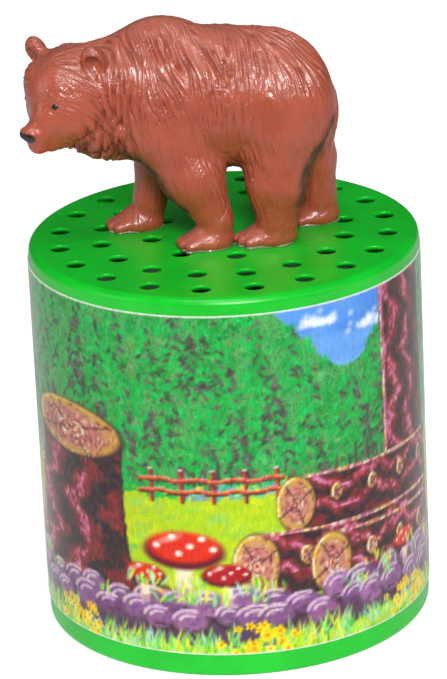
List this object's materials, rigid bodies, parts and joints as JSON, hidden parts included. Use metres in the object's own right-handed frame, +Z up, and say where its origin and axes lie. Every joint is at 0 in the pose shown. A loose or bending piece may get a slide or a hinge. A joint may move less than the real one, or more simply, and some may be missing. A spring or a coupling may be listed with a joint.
{
  "type": "animal noise box",
  "caption": "Round can with a perforated lid, a moulded bear on top and a weighted bellows inside that sounds a reed when tipped over and set upright.",
  "frame": {"origin": "centre of the can's base, on the surface that it stands on", "axes": "+Z up along the can's axis, -X towards the bear's nose, -Y towards the side that the picture shows"},
  "size_m": [0.065, 0.065, 0.1039],
  "materials": {
    "green_plastic": "glossy green moulded plastic",
    "label_print": "laminated printed film",
    "bear_vinyl": "glossy reddish-brown painted vinyl",
    "set_glue": "clear whitish set glue",
    "white_plastic": "plain white moulded plastic",
    "bellows_film": "thin translucent film",
    "spring_wire": "bright wire",
    "weight_steel": "plain pressed steel",
    "reed_brass": "rolled brass strip",
    "grey_felt": "grey pressed felt",
    "grey_foam": "soft grey foam"
  },
  "bodies": {
    "box": {"can_body": "green_plastic", "lid": "green_plastic", "label": "label_print", "bear_figure": "bear_vinyl", "foot_glue": "set_glue", "bellows_base": "white_plastic", "guide_tube": "white_plastic", "tube_cap": "white_plastic", "foam_ring": "grey_foam", "bottom_felt": "grey_felt", "top_felt": "grey_felt", "lower_clamp_ring": "white_plastic", "bellows": "bellows_film"},
    "weight": {"weight_carrier": "white_plastic", "weight_ring": "weight_steel", "horn": "white_plastic", "reed_block": "white_plastic", "reed_clip": "white_plastic", "upper_clamp_ring": "white_plastic"},
    "hoop_low": {"bellows_hoop_low": "spring_wire"},
    "hoop_middle": {"bellows_hoop_middle": "spring_wire"},
    "hoop_high": {"bellows_hoop_high": "spring_wire"},
    "reed": {"reed_tongue": "reed_brass"}
  },
  "joints": [
    {"name": "weight_slide", "type": "slide", "parent": "box", "child": "weight", "axis": [0, 0, 1], "range_m": [0, 0.024], "deforming": ["bellows"]},
    {"name": "hoop_low_slide", "type": "slide", "parent": "box", "child": "hoop_low", "axis": [0, 0, 1], "range_m": [0, 0.00605]},
    {"name": "hoop_middle_slide", "type": "slide", "parent": "box", "child": "hoop_middle", "axis": [0, 0, 1], "range_m": [0, 0.01205]},
    {"name": "hoop_high_slide", "type": "slide", "parent": "box", "child": "hoop_high", "axis": [0, 0, 1], "range_m": [0, 0.01805]},
    {"name": "reed_flex", "type": "hinge", "parent": "weight", "child": "reed", "pos_m": [0, -0.00317, 0.024], "axis": [-1, 0, 0], "range_deg": [0, 4], "stiffness_Nm_per_rad": 0.001}
  ],
  "couplings": [
    {"joint": "hoop_low_slide", "follows": "weight_slide", "ratio": 0.25},
    {"joint": "hoop_middle_slide", "follows": "weight_slide", "ratio": 0.5},
    {"joint": "hoop_high_slide", "follows": "weight_slide", "ratio": 0.75}
  ]
}
